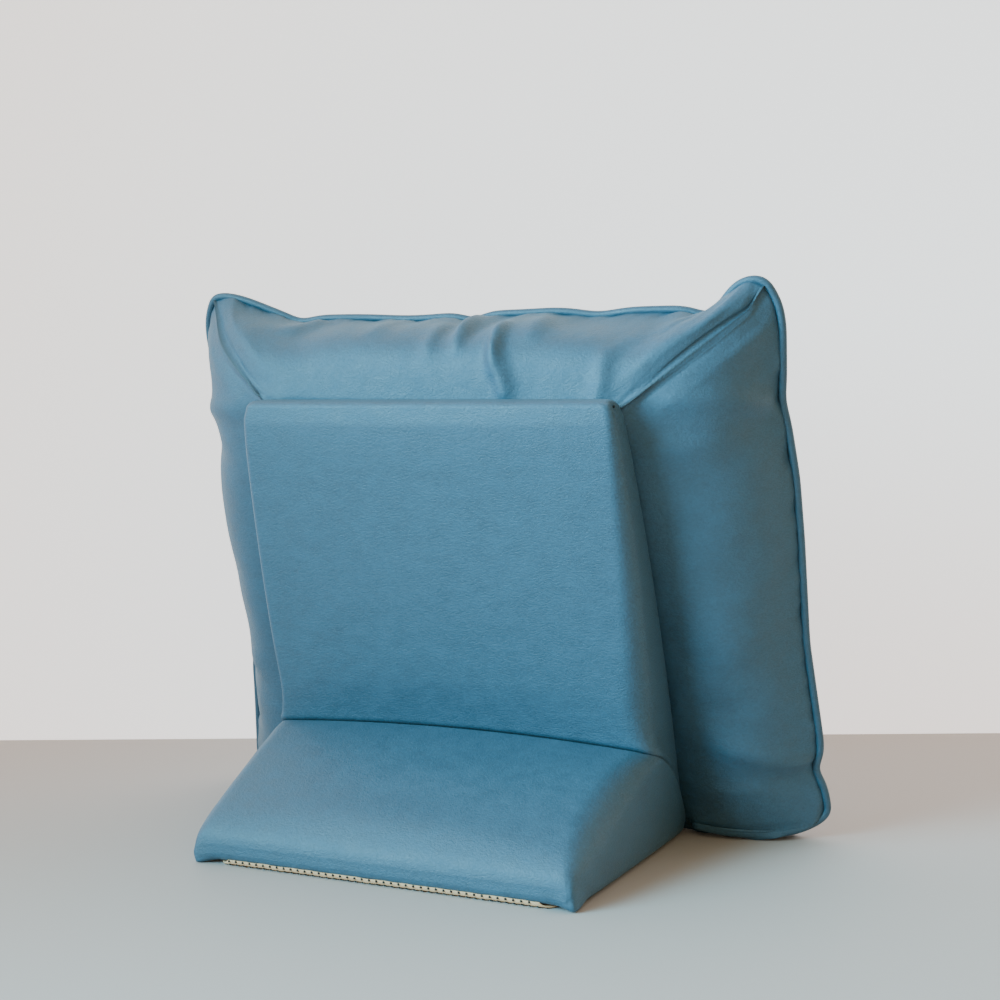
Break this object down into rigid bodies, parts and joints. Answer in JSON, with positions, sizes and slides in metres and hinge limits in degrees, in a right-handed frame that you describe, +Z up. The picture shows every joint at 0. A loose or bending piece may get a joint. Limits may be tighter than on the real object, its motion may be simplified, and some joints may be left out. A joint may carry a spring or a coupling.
{
  "type": "free-standing back cushion",
  "caption": "Loosely filled back cushion with piped edge and mitred borders, sewn to a leaning L-shaped padded stand with a wedge foot.",
  "frame": {"origin": "bottom centre of the whole part's box, on the surface that it stands on", "axes": "+X across, to the right seen from behind where the stand is, +Y towards the sitting side, +Z up"},
  "size_m": [0.6648, 0.3656, 0.5453],
  "materials": {
    "cushion_cover": "satin imitation leather, fine short wavy grain",
    "piping_cover": "satin imitation leather drawn tight over a cord",
    "upright_cover": "satin imitation leather, fine short wavy grain",
    "foot_cover": "satin imitation leather, fine short wavy grain",
    "grip_cloth": "matt tan cloth with small black rubber dots"
  },
  "bodies": {
    "root": {"cushion": "cushion_cover", "piping": "piping_cover", "upright_pad": "upright_cover", "foot_pad": "foot_cover", "grip_sheet": "grip_cloth"}
  },
  "joints": []
}
